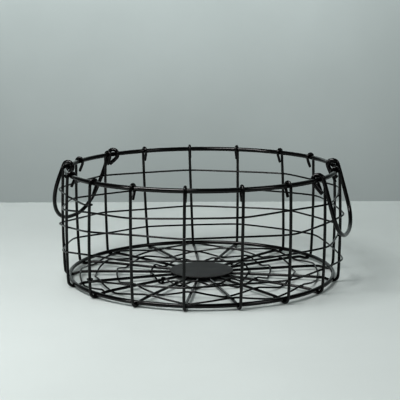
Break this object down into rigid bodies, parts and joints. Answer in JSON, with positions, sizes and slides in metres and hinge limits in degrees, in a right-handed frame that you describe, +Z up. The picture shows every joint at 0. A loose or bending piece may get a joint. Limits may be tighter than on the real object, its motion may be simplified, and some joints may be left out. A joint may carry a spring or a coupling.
{
  "type": "wire produce basket",
  "caption": "Round open wire basket with ribs hooked over a rim, woven wire wall and floor, a base disc and two swinging bail handles.",
  "frame": {"origin": "on the surface that the basket stands on, under the middle of the basket", "axes": "+Z up; the handles hang near +X and -X"},
  "size_m": [0.3947, 0.3723, 0.1536],
  "materials": {
    "thick_wire": "satin black",
    "rib_wire": "satin black",
    "woven_wire": "satin black",
    "handle_wire": "satin black",
    "base_disc": "matt dark grey"
  },
  "bodies": {
    "basket": {"top_rim": "thick_wire", "bottom_ring": "thick_wire", "rib_01": "rib_wire", "rib_02": "rib_wire", "rib_03": "rib_wire", "rib_04": "rib_wire", "rib_05": "rib_wire", "rib_06": "rib_wire", "rib_07": "rib_wire", "rib_08": "rib_wire", "rib_09": "rib_wire", "rib_10": "rib_wire", "rib_11": "rib_wire", "rib_12": "rib_wire", "rib_13": "rib_wire", "rib_14": "rib_wire", "rib_15": "rib_wire", "rib_16": "rib_wire", "rib_17": "rib_wire", "wall_weave": "woven_wire", "floor_weave": "woven_wire", "base_disc": "base_disc"},
    "left_handle": {"handle_left": "handle_wire"},
    "right_handle": {"handle_right": "handle_wire"}
  },
  "joints": [
    {"name": "right_handle_swing", "type": "hinge", "parent": "basket", "child": "right_handle", "pos_m": [0.16303, 0.01355, 0.1445], "axis": [0.0828, -0.9966, 0], "range_deg": [0, 317]},
    {"name": "left_handle_swing", "type": "hinge", "parent": "basket", "child": "left_handle", "pos_m": [-0.16303, 0.01355, 0.1445], "axis": [0.0828, 0.9966, 0], "range_deg": [0, 315]}
  ]
}
